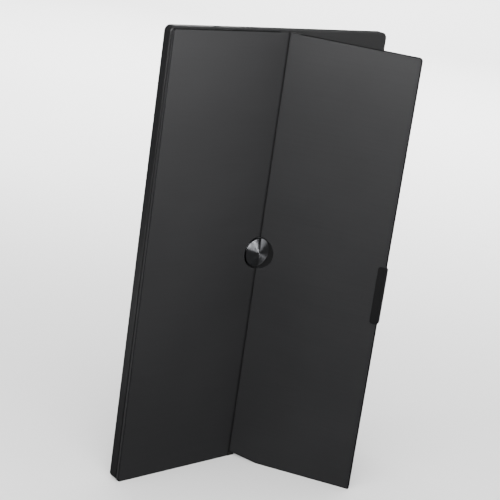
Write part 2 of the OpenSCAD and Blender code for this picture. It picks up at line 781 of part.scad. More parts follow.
// Turned hub: a low cone over a hollow rim, with a spigot through the housing's back wall
module hub_disc() color("#a9abad") {
    rim_h = cover_t + hub_rim_proud;
    hollow_h = rim_h - hub_wall;
    post_r = spigot_r + hub_wall;
    translate([0, back_y, mid_z]) rotate([90, 0, 0]) rotate_extrude() polygon([
        [0, cover_t + hub_tip_proud], [hub_r - hub_chamfer, rim_h],
        [hub_r, rim_h - hub_chamfer], [hub_r, 0], [hub_r - hub_wall, 0],
        [hub_r - hub_wall, hollow_h], [post_r, hollow_h], [post_r, 0], [spigot_r, 0],
        [spigot_r, -back_wall - spigot_l], [0, -back_wall - spigot_l]
    ]);
}

module hub_washer() color("#77797c") difference() {
    pin_y(0, mid_z, inner_back_y, inner_back_y + washer_t, washer_r);
    pin_y(0, mid_z, back_y, front_y, spigot_r + pin_gap);
}

module catch_plates() color("#8d9094") for (x = [fixed_magnet_x, flap_magnet_x], z = magnet_zs)
    block([x - magnet_r, inner_back_y, z - magnet_r],
          [x + magnet_r, inner_back_y + catch_t, z + magnet_r]);

// ---- cover: shapes that both halves share, drawn on the right side of the fold ----

// Outline of one half between the fold side and the outer side, with the hub's half hole
module half_outline(x_fold, x_outer, inset, top_r, bottom_r) {
    x1 = x_outer - inset;
    z1 = cover_h - inset;
    rt = max(top_r - inset, skin_t);
    rb = max(bottom_r - inset, skin_t);
    difference() {
        union() {
            rect([x_fold, x1 - max(rt, rb), inset, z1]);
            rect([x_fold, x1, inset + rb, z1 - rt]);
            rect([x_fold, x1 - rt, mid_z, z1]);
            rect([x_fold, x1 - rb, inset, mid_z]);
            translate([x1 - rt, z1 - rt]) circle(rt);
            translate([x1 - rb, inset + rb]) circle(rb);
        }
        translate([0, mid_z]) circle(hub_hole_r);
    }
}

// The left half, which lies flat on the monitor's back
module fixed_outline(x_fold, inset) {
    mirror([1, 0]) half_outline(x_fold, -cover_x0, inset, cover_corner_r, cover_corner_r);
}

// The slanting cut at the foot of the fold, raised by an inset along the same slope
module toe_cut(inset) {
    cut_h = toe_cut_h + inset;
    cut_l = toe_cut_l * cut_h / toe_cut_h;
    polygon([[-flap_w, -cut_h], [-flap_w, cut_h], [0, cut_h], [cut_l, 0], [cut_l, -cut_h]]);
}

// The flap as it lies when closed, with the slanting cut
module flap_outline(x_fold, inset) {
    difference() {
        half_outline(x_fold, flap_w, inset, cover_corner_r, flap_toe_r);
        toe_cut(inset);
    }
}

// Room in a board for the hinge strip's flange and the bead's seat
module strip_seat() {
    block([-strip_w, board_outer_y - skin_t, foot_h],
          [strip_w, board_outer_y + strip_t, body_h]);
    translate([0, cover_y, foot_h]) cylinder(r = bead_edge + strip_t, h = body_h);
}

// Pockets for a column of magnets
module magnet_pockets(x) {
    for (z = magnet_zs) pin_y(x, z, board_inner_y - magnet_t, back_y, magnet_r + pin_gap);
}

module magnets(x) {
    for (z = magnet_zs) pin_y(x, z, board_inner_y - magnet_t, board_inner_y, magnet_r);
}

// Cuts the round hole for the hub through a piece that crosses it
module hub_cut() {
    pin_y(0, mid_z, cover_y - body_t, back_y, hub_hole_r);
}

// ---- cover: the half that lies on the back ----

module fixed_skin() color("#3c3d3f") plate(cover_y, skin_t) fixed_outline(bead_edge, skin_inset);

module fixed_board() color("#1d1e20") difference() {
    plate(board_outer_y, board_t) fixed_outline(fold_gap, 0);
    strip_seat();
    magnet_pockets(fixed_magnet_x);
}

module fixed_lining() color("#2a2b2e") plate(board_inner_y, back_y - board_inner_y)
    fixed_outline(fold_gap, lining_inset);

module fixed_magnets() color("#b0b2b5") magnets(fixed_magnet_x);

// Hinge strip: the bead on the fold's axis, and the flange glued under the fixed skin
module hinge_strip() color("#141516") difference() {
    translate([0, 0, foot_h]) linear_extrude(cover_h - foot_h) {
        translate([0, cover_y]) difference() {
            circle(bead_r);
            translate([-bead_r, -bead_r]) square([2 * bead_r, bead_r + bead_recess]);
        }
        translate([-strip_w, board_outer_y]) square([strip_w - fold_gap, strip_t]);
    }
    hub_cut();
}

module spine_foot() color("#141516")
    block([-fold_gap, cover_y, 0], [foot_l, back_y, foot_h]);

// ---- cover: the flap ----

module flap_skin() color("#3c3d3f") opened() plate(cover_y, skin_t)
    flap_outline(bead_edge + strip_t, skin_inset);

module flap_board() color("#1d1e20") opened() difference() {
    plate(board_outer_y, board_t) flap_outline(fold_gap, 0);
    strip_seat();
    magnet_pockets(flap_magnet_x);
}

module flap_lining() color("#2a2b2e") opened() plate(board_inner_y, lining_t) difference() {
    flap_outline(fold_gap, lining_inset);
    rect(grown(grip_box, fit_gap));
}

module flap_magnets() color("#b0b2b5") opened() magnets(flap_magnet_x);

// The flap's half of the hinge strip: a cup round the bead, and a flange under the skin
module hinge_leaf() color("#141516") opened() difference() {
    linear_extrude(cover_h) difference() {
        union() {
            intersection() {
                translate([0, cover_y]) circle(bead_edge + strip_t);
                translate([fold_gap, cover_y + bead_recess]) square(2 * bead_edge);
            }
            translate([fold_gap, board_outer_y]) square([strip_w - fold_gap, strip_t]);
        }
        translate([0, cover_y]) circle(bead_edge);
    }
    hub_cut();
    plate(cover_y - bead_r, 4 * bead_r) toe_cut(0);
}

// Rubber grip folded round the flap's free edge: a leg on each face and a nose, which also
// fills the step at the skin's edge
module edge_grip() color("#111213") opened() {
    straight_zs = [grip_box[2] + grip_r, grip_box[3] - grip_r];
    plate(cover_y - grip_t, grip_t) round_rect(grip_box, grip_r);
    plate(cover_y - grip_t, grip_t + skin_t)
        rect(concat([flap_w - skin_inset, grip_box[1]], straight_zs));
    plate(cover_y - grip_t, grip_t + skin_t + board_t + lining_t)
        rect(concat([flap_w, grip_box[1]], straight_zs));
    plate(board_inner_y, lining_t) round_rect(grip_box, grip_r);
}

rear_housing();
front_bezel();
screen_gasket();
lcd_cell();
film_stack();
light_guide();
reflector_sheet();
panel_frame();
panel_tray();
panel_tapes();
backlight_bar();
driver_board();
driver_flexes();
main_board();
shield_can();
board_screws();
usb_shell();
usb_tongue();
lock_plate();
panel_cable();
button_board();
button_switches();
button_cable();
power_light();
light_lens();
power_button();
brightness_button();
hub_disc();
hub_washer();
catch_plates();
fixed_skin();
fixed_board();
fixed_lining();
fixed_magnets();
hinge_strip();
spine_foot();
flap_skin();
flap_board();
flap_lining();
flap_magnets();
hinge_leaf();
edge_grip();
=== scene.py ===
import json
import math

import bmesh
import bpy
from mathutils import Matrix, Vector


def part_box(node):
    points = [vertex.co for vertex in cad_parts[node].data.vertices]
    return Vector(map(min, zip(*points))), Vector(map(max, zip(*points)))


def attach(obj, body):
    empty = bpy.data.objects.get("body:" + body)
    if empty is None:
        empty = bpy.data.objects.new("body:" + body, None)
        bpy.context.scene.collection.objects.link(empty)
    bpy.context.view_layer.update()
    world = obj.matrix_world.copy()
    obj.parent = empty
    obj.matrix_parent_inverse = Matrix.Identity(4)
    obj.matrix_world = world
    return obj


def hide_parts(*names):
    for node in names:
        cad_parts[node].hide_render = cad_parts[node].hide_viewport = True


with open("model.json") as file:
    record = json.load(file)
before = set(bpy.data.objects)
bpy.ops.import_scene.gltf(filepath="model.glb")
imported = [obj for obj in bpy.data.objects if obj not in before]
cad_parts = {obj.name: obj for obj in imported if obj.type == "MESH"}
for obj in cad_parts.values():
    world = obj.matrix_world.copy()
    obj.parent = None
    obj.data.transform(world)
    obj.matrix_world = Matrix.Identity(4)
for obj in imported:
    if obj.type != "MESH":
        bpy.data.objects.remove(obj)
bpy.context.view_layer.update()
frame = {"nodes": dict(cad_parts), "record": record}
nodes = frame["nodes"]
print("frame loaded:", len(nodes), "nodes")


def mm(value):
    return value * 0.001


def linear(hexColour):
    channels = [int(hexColour[i : i + 2], 16) / 255 for i in (1, 3, 5)]
    return [c / 12.92 if c <= 0.04045 else ((c + 0.055) / 1.055) ** 2.4 for c in channels] + [1]


# the places that the hub is set by, read from the frame
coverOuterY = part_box("fixed_skin")[0].y
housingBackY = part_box("rear_housing")[0].y
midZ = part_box("rear_housing")[1].z / 2


cameraSettings = {
    "place": (-0.7608, -0.8462, 0.5369),
    "right": (0.71657, -0.67953, 0.15740),
    "forward": (0.69347, 0.66978, -0.26550),
    "lens": 99.71,  # mm, as is the sensor
    "sensor": 36,
    "shift": (-0.2, -0.044),  # the photograph is cut from a wider picture
}


def makeCamera(settings):
    data = bpy.data.cameras.new("studioCamera")
    data.lens = settings["lens"]
    data.sensor_width = settings["sensor"]
    data.shift_x, data.shift_y = settings["shift"]
    camera = bpy.data.objects.new("studioCamera", data)
    bpy.context.scene.collection.objects.link(camera)
    right = Vector(settings["right"]).normalized()
    back = -Vector(settings["forward"]).normalized()
    up = back.cross(right).normalized()
    turn = Matrix((right, up, back)).transposed().to_4x4()
    camera.matrix_world = Matrix.Translation(settings["place"]) @ turn
    bpy.context.scene.camera = camera


makeCamera(cameraSettings)
print("camera placed")


def addNode(tree, kind, inputs=None, **settings):
    # an input takes a plain value, a socket, or a node for its first output
    node = tree.nodes.new(kind)
    for name, value in settings.items():
        setattr(node, name, value)
    for key, value in (inputs or {}).items():
        if isinstance(value, bpy.types.Node):
            value = value.outputs[0]
        if isinstance(value, bpy.types.NodeSocket):
            tree.links.new(value, node.inputs[key])
        else:
            node.inputs[key].default_value = value
    return node


# ranges that hold most values of a noise, of two noises added, and of the rougher noise
# that draws pits
noiseMiddle = (0.3, 0.7)
sumMiddle = (0.75, 1.25)
pitMiddle = (0.35, 0.75)


def startMaterial(name, constants):
    material = bpy.data.materials.new(name)
    material.use_nodes = True
    tree = material.node_tree
    tree.nodes.clear()
    shader = addNode(tree, "ShaderNodeBsdfPrincipled", constants)
    addNode(tree, "ShaderNodeOutputMaterial", {"Surface": shader})
    place = addNode(tree, "ShaderNodeTexCoord").outputs["Object"]
    return material, tree, shader, place


def finishMaterial(tree, shader, settings, shade, gloss=None, height=None,
                   shadeFrom=None, glossFrom=noiseMiddle, colours=None):
    # the colour goes from dark to light with shade, the roughness from low to high with
    # gloss, and height gives the relief
    if shadeFrom:
        shade = addNode(
            tree, "ShaderNodeMapRange", {0: shade, 1: shadeFrom[0], 2: shadeFrom[1]}
        )
    dark, light = colours or (linear(settings["dark"]), linear(settings["light"]))
    colour = addNode(tree, "ShaderNodeMix", {0: shade, 6: dark, 7: light}, data_type="RGBA")
    tree.links.new(colour.outputs[2], shader.inputs["Base Color"])
    if gloss:
        low, high = settings["roughness"]
        roughness = addNode(
            tree, "ShaderNodeMapRange",
            {0: gloss, 1: glossFrom[0], 2: glossFrom[1], 3: low, 4: high},
        )
        tree.links.new(roughness.outputs[0], shader.inputs["Roughness"])
    if height:
        bump = addNode(
            tree, "ShaderNodeBump", {"Height": height, "Distance": mm(settings["depth"])}
        )
        tree.links.new(bump.outputs[0], shader.inputs["Normal"])


def coatedCloth(settings):
    # cloth under a thin satin coat: a soft broad sheen, broken by fine threads that run
    # along the short side
    material, tree, shader, place = startMaterial(
        "satinCoatedCloth", {"Specular IOR Level": settings["specular"], "IOR": 1.5}
    )
    along, across = 1 / mm(settings["threadLength"]), 1 / mm(settings["threadPitch"])
    stretched = addNode(
        tree, "ShaderNodeMapping", {"Vector": place, "Scale": (along, along, across)}
    )
    threads = addNode(
        tree, "ShaderNodeTexNoise",
        {"Vector": stretched, "Scale": 1.0, "Detail": 3.0, "Roughness": 0.6},
    )
    clouds = addNode(
        tree, "ShaderNodeTexNoise",
        {"Vector": place, "Scale": 1 / mm(settings["cloudSize"]), "Detail": 4.0},
    )
    grain = addNode(
        tree, "ShaderNodeTexNoise",
        {"Vector": place, "Scale": 1 / mm(settings["grainPitch"]), "Detail": 2.0},
    )
    shade = addNode(tree, "ShaderNodeMath", {0: threads, 1: clouds}, operation="ADD")
    height = addNode(
        tree, "ShaderNodeMath", {0: threads, 1: settings["threadShare"], 2: grain},
        operation="MULTIPLY_ADD",
    )
    finishMaterial(tree, shader, settings, shade, threads, height, shadeFrom=sumMiddle)
    return material


def wrappedBoard(settings):
    # stiff board in a thin dark film: smooth, with slight ripples where it is folded over,
    # and with painted light: a paler band along its long left edge, standing in for the light
    # that side catches
    material, tree, shader, place = startMaterial(
        "filmWrappedBoard", {"Specular IOR Level": settings["specular"], "IOR": 1.5}
    )
    scale = [1 / mm(size) for size in settings["rippleSize"]]
    rippled = addNode(tree, "ShaderNodeMapping", {"Vector": place, "Scale": scale})
    ripple = addNode(
        tree, "ShaderNodeTexNoise", {"Vector": rippled, "Scale": 1.0, "Detail": 3.0}
    )
    film = addNode(
        tree, "ShaderNodeMix",
        {0: ripple, 6: linear(settings["dark"]), 7: linear(settings["light"])},
        data_type="RGBA",
    ).outputs[2]
    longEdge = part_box("fixed_board")[0].x
    across = addNode(tree, "ShaderNodeSeparateXYZ", {0: place})
    # painted light: the colour goes paler towards the long left edge, to show that side lit
    paintedEdgeLight = addNode(
        tree, "ShaderNodeMapRange",
        {0: across, 1: longEdge, 2: longEdge + mm(settings["paintedLitEdgeWidth"]), 3: 1.0, 4: 0.0},
    )
    finishMaterial(tree, shader, settings, paintedEdgeLight, ripple, ripple,
                   colours=(film, linear(settings["paintedLitEdge"])))
    return material


def microfibre(settings):
    # brushed microfibre: a short nap that goes lighter at a grazing view and shows strokes
    material, tree, shader, place = startMaterial(
        "brushedMicrofibre",
        {"Specular IOR Level": 0.2, "Roughness": 0.9, "Sheen Weight": 0.3,
         "Sheen Roughness": 0.5, "Sheen Tint": linear(settings["sheen"])},
    )
    nap = addNode(
        tree, "ShaderNodeTexNoise",
        {"Vector": place, "Scale": 1 / mm(settings["nap"]), "Detail": 5.0, "Roughness": 0.75},
    )
    strokes = addNode(
        tree, "ShaderNodeTexNoise",
        {"Vector": place, "Scale": 1 / mm(settings["strokeWidth"]), "Detail": 3.0},
    )
    shade = addNode(tree, "ShaderNodeMath", {0: nap, 1: strokes}, operation="ADD")
    finishMaterial(tree, shader, settings, shade, height=nap, shadeFrom=sumMiddle)
    return material


flowSize = 83.3  # mm; the melt's broad flow clouds


def mouldedPlastic(name, settings):
    # moulded in a spark-eroded tool: an even fine grain that spreads the gloss, and faint
    # flow clouds
    material, tree, shader, place = startMaterial(
        name, {"Specular IOR Level": settings["specular"], "IOR": 1.53}
    )
    grain = addNode(
        tree, "ShaderNodeTexNoise",
        {"Vector": place, "Scale": 1 / mm(settings["grain"]), "Detail": 3.0, "Roughness": 0.55},
    )
    flow = addNode(
        tree, "ShaderNodeTexNoise", {"Vector": place, "Scale": 1 / mm(flowSize), "Detail": 3.0}
    )
    finishMaterial(tree, shader, settings, flow, flow, grain, shadeFrom=noiseMiddle)
    return material


hazeSize = 16.7  # mm; the slight unevenness of clear sheet


def clearPlastic(name, settings):
    # cast or drawn clear sheet: see-through with a faint haze
    material, tree, shader, place = startMaterial(
        name, {"IOR": 1.49, "Transmission Weight": settings["clearness"]}
    )
    haze = addNode(
        tree, "ShaderNodeTexNoise", {"Vector": place, "Scale": 1 / mm(hazeSize), "Detail": 2.0}
    )
    finishMaterial(tree, shader, settings, haze, haze)
    return material


rollingDepth = 0.004  # mm; relief of the fine lines that rolling leaves


def rolledMetal(name, settings):
    # rolled and plated sheet: fine lines along the rolling direction stretch the highlights
    material, tree, shader, place = startMaterial(name, {"Metallic": 1.0})
    scale = [1 / mm(size) for size in settings["lineSize"]]
    rolled = addNode(tree, "ShaderNodeMapping", {"Vector": place, "Scale": scale})
    lines = addNode(tree, "ShaderNodeTexNoise", {"Vector": rolled, "Scale": 1.0, "Detail": 3.0})
    finishMaterial(tree, shader, {**settings, "depth": rollingDepth}, lines, lines, lines)
    return material


def mouldedRubber(name, settings):
    # moulded elastomer: nearly matt, with a fine pitted skin
    material, tree, shader, place = startMaterial(
        name, {"Specular IOR Level": settings["specular"], "IOR": 1.5}
    )
    pits = addNode(
        tree, "ShaderNodeTexNoise",
        {"Vector": place, "Scale": 1 / mm(settings["grain"]), "Detail": 4.0, "Roughness": 0.7},
    )
    finishMaterial(tree, shader, settings, pits, pits, pits, shadeFrom=pitMiddle)
    return material


def closedFoam(settings):
    # closed-cell foam: small burst cells at the cut face, no gloss
    material, tree, shader, place = startMaterial(
        "closedCellFoam", {"Specular IOR Level": 0.2, "Roughness": 0.95}
    )
    cells = addNode(
        tree, "ShaderNodeTexVoronoi", {"Vector": place, "Scale": 1 / mm(settings["cell"])}
    )
    finishMaterial(tree, shader, settings, cells, height=cells)
    return material


def antiGlareScreen(settings):
    # glass under an etched polariser, switched off: blue-black inside a black mask
    material, tree, shader, place = startMaterial(
        "antiGlarePolariser",
        {"IOR": 1.5, "Roughness": 0.24, "Coat Weight": 0.2, "Coat Roughness": 0.35},
    )
    lowest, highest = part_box("lcd_cell")
    middle = (lowest + highest) / 2
    half = (highest - lowest) / 2
    parts = addNode(tree, "ShaderNodeSeparateXYZ", {0: place}).outputs
    tests = []
    for part, centre, reach in ((parts[0], middle.x, half.x), (parts[2], middle.z, half.z)):
        tests.append(addNode(
            tree, "ShaderNodeMath", {0: part, 1: centre, 2: reach - mm(settings["mask"])},
            operation="COMPARE",
        ))
    inside = addNode(tree, "ShaderNodeMath", {0: tests[0], 1: tests[1]}, operation="MULTIPLY")
    etch = addNode(
        tree, "ShaderNodeTexNoise",
        {"Vector": place, "Scale": 1 / mm(settings["etch"]), "Detail": 1.0},
    )
    finishMaterial(tree, shader, settings, inside, height=etch)
    return material


def solderMask(settings):
    # glass-fibre board: green mask, a little raised over its copper tracks
    material, tree, shader, place = startMaterial("greenSolderMask", {"IOR": 1.55})
    tracks = addNode(
        tree, "ShaderNodeTexVoronoi",
        {"Vector": place, "Scale": 1 / mm(settings["spacing"]), "Randomness": 0.6},
        feature="DISTANCE_TO_EDGE",
    )
    start, end = settings["trackEdge"]
    line = addNode(tree, "ShaderNodeMapRange", {0: tracks, 1: start, 2: end, 3: 1.0, 4: 0.0})
    finishMaterial(tree, shader, settings, line, line, line, glossFrom=(0, 1))
    return material


def flatCable(name, settings):
    # flat cable: its parallel conductors show through the thin film
    material, tree, shader, place = startMaterial(name, {"IOR": 1.5})
    conductors = addNode(
        tree, "ShaderNodeTexWave",
        {"Vector": place, "Scale": 1 / mm(settings["pitch"] * 2 * math.pi)},
        bands_direction=settings["across"],
    ).outputs["Fac"]
    finishMaterial(tree, shader, settings, conductors, conductors, conductors, glossFrom=(0, 1))
    return material


def diodeStrip(settings):
    # white masked strip, with the diodes' pale yellow phosphor towards the light guide
    material, tree, shader, place = startMaterial("whiteMaskedStrip", {})
    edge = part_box("backlight_bar")[0].x + mm(settings["window"])
    across = addNode(tree, "ShaderNodeSeparateXYZ", {0: place})
    window = addNode(tree, "ShaderNodeMath", {0: across, 1: edge}, operation="LESS_THAN")
    speck = addNode(
        tree, "ShaderNodeTexNoise", {"Vector": place, "Scale": 1 / mm(settings["speck"])}
    )
    phosphor = addNode(
        tree, "ShaderNodeMix",
        {0: speck, 6: linear(settings["dark"]), 7: linear(settings["light"])},
        data_type="RGBA",
    ).outputs[2]
    finishMaterial(tree, shader, settings, window, speck, glossFrom=(0, 1),
                   colours=(linear(settings["mask"]), phosphor))
    return material


def spunAluminium(settings):
    # turned on a lathe and dark anodised: the tool's rings stretch each light outwards from
    # the tip, so it shows as a pair of wedges
    material, tree, shader, _ = startMaterial(
        "spunDarkAnodised", {"Metallic": 1.0, "Anisotropic": settings["anisotropy"]}
    )
    tangent = addNode(tree, "ShaderNodeTangent", direction_type="UV_MAP", uv_map="ringMap")
    tree.links.new(tangent.outputs[0], shader.inputs["Tangent"])
    ringMap = addNode(tree, "ShaderNodeUVMap", uv_map="ringMap")
    turned = addNode(
        tree, "ShaderNodeMapping",
        {"Vector": ringMap, "Scale": (settings["rings"], settings["patches"], 1)},
    )
    rings = addNode(tree, "ShaderNodeTexNoise", {"Vector": turned, "Scale": 1.0, "Detail": 3.0})
    finishMaterial(tree, shader, settings, rings, rings, rings)
    return material


# sizes in mm; the grains, pits, rolling lines and the screen's etch are finer on the real
# thing, and drawn only as coarse as they need to show
finishes = {
    "coverSkin": coatedCloth({
        "dark": "#202021", "light": "#262627", "specular": 0.3, "roughness": (0.42, 0.5),
        "threadPitch": 0.35,  # the real threads are finer, drawn coarse enough to show
        "threadLength": 62.5, "threadShare": 1.2, "grainPitch": 0.25, "cloudSize": 111,
        "depth": 0.012,
    }),
    "coverBoard": wrappedBoard({
        "dark": "#0a0a0b", "light": "#0e0e0f", "specular": 0.12, "roughness": (0.5, 0.6),
        "rippleSize": (3.33, 3.33, 16.7), "depth": 0.02,
        # painted light: colour and width of the paler band on the board's long left edge
        "paintedLitEdge": "#29292a", "paintedLitEdgeWidth": 1.3,
    }),
    "coverLining": microfibre({
        "dark": "#1d1d1f", "light": "#272729", "sheen": "#77777b",
        "nap": 0.3,  # coarser than the real nap, so that it shows
        "strokeWidth": 45.5, "depth": 0.05,
    }),
    "housing": mouldedPlastic("mouldedBlackAbs", {
        "dark": "#151516", "light": "#19191a", "specular": 0.25, "roughness": (0.42, 0.49),
        "grain": 0.3, "depth": 0.012,
    }),
    "bezel": mouldedPlastic("mouldedBezelAbs", {
        "dark": "#141415", "light": "#181819", "specular": 0.4, "roughness": (0.44, 0.5),
        "grain": 0.3, "depth": 0.012,
    }),
    "button": mouldedPlastic("mouldedButtonAbs", {
        "dark": "#2b2b2d", "light": "#303032", "specular": 0.5, "roughness": (0.36, 0.42),
        "grain": 0.2, "depth": 0.006,
    }),
    "insulator": mouldedPlastic("mouldedInsulator", {
        "dark": "#101011", "light": "#161617", "specular": 0.5, "roughness": (0.38, 0.45),
        "grain": 0.15, "depth": 0.004,
    }),
    "panelFrame": mouldedPlastic("mouldedWhitePolycarbonate", {
        "dark": "#cfcfca", "light": "#dcdcd8", "specular": 0.5, "roughness": (0.4, 0.46),
        "grain": 0.3, "depth": 0.008,
    }),
    "screen": antiGlareScreen({
        "dark": "#050506",  # the mask round the picture
        "light": "#0d0f14",  # the picture area
        "mask": 3.5, "etch": 0.08, "depth": 0.002,
    }),
    "film": clearPlastic("whiteDiffuserFilm", {
        "dark": "#e3e6e8", "light": "#f0f2f3", "clearness": 0.25, "roughness": (0.42, 0.55),
    }),
    "acrylic": clearPlastic("castAcrylic", {
        "dark": "#dbe7ec", "light": "#e8f1f5", "clearness": 0.85, "roughness": (0.05, 0.09),
    }),
    "lens": clearPlastic("clearPolycarbonate", {
        "dark": "#dfe6ea", "light": "#eef3f6", "clearness": 0.7, "roughness": (0.1, 0.16),
    }),
    "sheetSteel": rolledMetal("galvanisedSteel", {
        "dark": "#9fa2a5", "light": "#b4b7b9", "roughness": (0.28, 0.42),
        "lineSize": (0.83, 0.83, 40),
    }),
    "tinPlate": rolledMetal("tinPlatedSteel", {
        "dark": "#b1b3b4", "light": "#c6c8c9", "roughness": (0.22, 0.36),
        "lineSize": (25, 1.11, 1.11),
    }),
    "plainSteel": rolledMetal("turnedSteel", {
        "dark": "#85878a", "light": "#9a9c9f", "roughness": (0.3, 0.44),
        "lineSize": (1.11, 16.7, 1.11),
    }),
    # painted shade: this steel is made dark so that the port and lock openings it lines read as
    # shaded
    "socketSteel": rolledMetal("shadeDarkSocketSteel", {
        "dark": "#2c2c2e", "light": "#3a3a3d", "roughness": (0.3, 0.42),
        "lineSize": (1.11, 1.11, 16.7),
    }),
    "contact": rolledMetal("giltContact", {
        "dark": "#b58a3c", "light": "#cfa658", "roughness": (0.2, 0.3),
        "lineSize": (16.7, 1.11, 1.11),
    }),
    "magnet": rolledMetal("nickelPlatedMagnet", {
        "dark": "#a9a7a3", "light": "#bab8b4", "roughness": (0.14, 0.24),
        "lineSize": (6.25, 6.25, 6.25),
    }),
    "hinge": mouldedRubber("satinPolyurethane", {
        "dark": "#121213", "light": "#171718", "specular": 0.35, "roughness": (0.5, 0.6),
        "grain": 0.3, "depth": 0.01,
    }),
    "foot": mouldedRubber("footRubber", {
        "dark": "#161616", "light": "#1e1e1e", "specular": 0.3, "roughness": (0.7, 0.8),
        "grain": 0.35, "depth": 0.03,
    }),
    "grip": mouldedRubber("gripRubber", {
        "dark": "#0a0a0b", "light": "#0e0e0f", "specular": 0.18, "roughness": (0.52, 0.62),
        "grain": 0.35, "depth": 0.02,
    }),
    "foam": closedFoam({"dark": "#0d0d0d", "light": "#1c1c1c", "cell": 0.5, "depth": 0.08}),
    "circuit": solderMask({
        "dark": "#174a33",  # the mask on the bare board
        "light": "#2a7350",  # the mask over a track
        "trackEdge": (0.04, 0.08),  # from a track's middle, as shares of the spacing
        "spacing": 2.4, "roughness": (0.32, 0.42), "depth": 0.03,
    }),
    "flex": flatCable("polyimideFlex", {
        "dark": "#7d4514", "light": "#b06c28", "roughness": (0.3, 0.42), "pitch": 0.8,
        "across": "Z", "depth": 0.03,
    }),
    "ribbon": flatCable("whiteRibbonCable", {
        "dark": "#c9c6bd", "light": "#e7e5de", "roughness": (0.3, 0.42), "pitch": 1.0,
        "across": "X", "depth": 0.03,
    }),
    "diodes": diodeStrip({
        "mask": "#ecebe4", "dark": "#e2c84a", "light": "#f1df86", "roughness": (0.3, 0.45),
        "window": 0.2, "speck": 1.11,
    }),
    "hub": spunAluminium({
        "dark": "#67686b", "light": "#8a8b8e", "anisotropy": 0.98, "roughness": (0.28, 0.33),
        "rings": 90, "patches": 6,  # how often the shade changes outwards, and round the disc
        "depth": 0.01,
    }),
}

finishOfNode = {
    "rear_housing": "housing", "front_bezel": "bezel", "screen_gasket": "foam",
    "lcd_cell": "screen", "film_stack": "film", "light_guide": "acrylic",
    "reflector_sheet": "film", "panel_frame": "panelFrame", "panel_tray": "sheetSteel",
    "panel_tapes": "foam", "backlight_bar": "diodes", "driver_board": "circuit",
    "driver_flexes": "flex", "main_board": "circuit", "shield_can": "tinPlate",
    "board_screws": "plainSteel", "usb_shell": "socketSteel", "usb_tongue": "insulator",
    "lock_plate": "socketSteel", "panel_cable": "ribbon", "button_board": "circuit",
    "button_switches": "tinPlate", "button_cable": "ribbon", "power_light": "lens",
    "light_lens": "lens", "power_button": "button", "brightness_button": "button",
    "hub_disc": "hub", "hub_washer": "plainSteel", "catch_plates": "sheetSteel",
    "fixed_skin": "coverSkin", "fixed_board": "coverBoard", "fixed_lining": "coverLining",
    "fixed_magnets": "magnet", "hinge_strip": "hinge", "spine_foot": "foot",
    "flap_skin": "coverSkin", "flap_board": "coverBoard", "flap_lining": "coverLining",
    "flap_magnets": "magnet", "hinge_leaf": "hinge", "edge_grip": "grip",
}


def dress(piece, finish):
    piece.data.materials.clear()
    piece.data.materials.append(finishes[finish])


for nodeName, finish in finishOfNode.items():
    dress(nodes[nodeName], finish)
print("materials made:", len(finishes))


def linkPiece(name, mesh):
    piece = bpy.data.objects.new(name, mesh)
    bpy.context.scene.collection.objects.link(piece)
    return piece


def smoothByAngle(mesh, angle):
    mesh.shade_smooth()
    mesh.set_sharp_from_angle(angle=math.radians(angle))


def applyModifiers(piece):
    evaluated = piece.evaluated_get(bpy.context.evaluated_depsgraph_get())
    plain = bpy.data.meshes.new_from_object(evaluated)
    piece.modifiers.clear()
    piece.data = plain
    plain.name = piece.name


# edge radii in mm; 0 keeps the moulded radii that the solid has already
softenedPieces = {
    "fixedSkinSheet": {"node": "fixed_skin", "radius": 0.18, "slot": "cover_skin"},
    "flapSkinSheet": {"node": "flap_skin", "radius": 0.18, "slot": "cover_skin"},
    "fixedBoardRim": {"node": "fixed_board", "radius": 0.25, "slot": "cover_board"},
    "flapBoardRim": {"node": "flap_board", "radius": 0.25, "slot": "cover_board"},
    "gripBody": {"node": "edge_grip", "radius": 0.35, "slot": "grip_rubber"},
    "footBlock": {"node": "spine_foot", "radius": 0.4, "slot": "foot_rubber"},
    "powerCap": {"node": "power_button", "radius": 0.15, "slot": "button_plastic"},
    "brightnessCap": {"node": "brightness_button", "radius": 0.15, "slot": "button_plastic"},
    "housingShell": {"node": "rear_housing", "radius": 0, "slot": "housing_plastic"},
    "bezelPlate": {"node": "front_bezel", "radius": 0, "slot": "bezel_plastic"},
}

softening = {
    "mergeWithin": mm(0.001),
    "flatWithin": 0.5,  # degrees; faces this level become one
    "smoothUnder": 30,  # degrees
    "roundOver": 40,  # degrees
    "segments": 3,
}


def bodyOf(nodeName):
    for body, members in frame["record"]["behaviour"]["bodies"].items():
        if nodeName in members:
            return body


def softenPiece(name, settings):
    # a merged copy of the solid, with its long edges rounded and its flat faces shaded level
    nodeName = settings["node"]
    shape = bmesh.new()
    shape.from_mesh(nodes[nodeName].data)
    bmesh.ops.remove_doubles(shape, verts=shape.verts, dist=softening["mergeWithin"])
    bmesh.ops.dissolve_limit(
        shape, angle_limit=math.radians(softening["flatWithin"]),
        verts=shape.verts, edges=shape.edges,
    )
    mesh = bpy.data.meshes.new(name)
    shape.to_mesh(mesh)
    shape.free()
    smoothByAngle(mesh, softening["smoothUnder"])
    piece = linkPiece(name, mesh)
    if settings["radius"]:
        rounding = piece.modifiers.new("edgeRadius", "BEVEL")
        rounding.width = mm(settings["radius"])
        rounding.segments = softening["segments"]
        rounding.limit_method = "ANGLE"
        rounding.angle_limit = math.radians(softening["roundOver"])
    levelling = piece.modifiers.new("flatFaces", "WEIGHTED_NORMAL")
    levelling.keep_sharp = not settings["radius"]
    applyModifiers(piece)
    dress(piece, finishOfNode[nodeName])
    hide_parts(nodeName)
    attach(piece, bodyOf(nodeName))


for pieceName, settings in softenedPieces.items():
    softenPiece(pieceName, settings)
print("softened pieces:", len(softenedPieces))


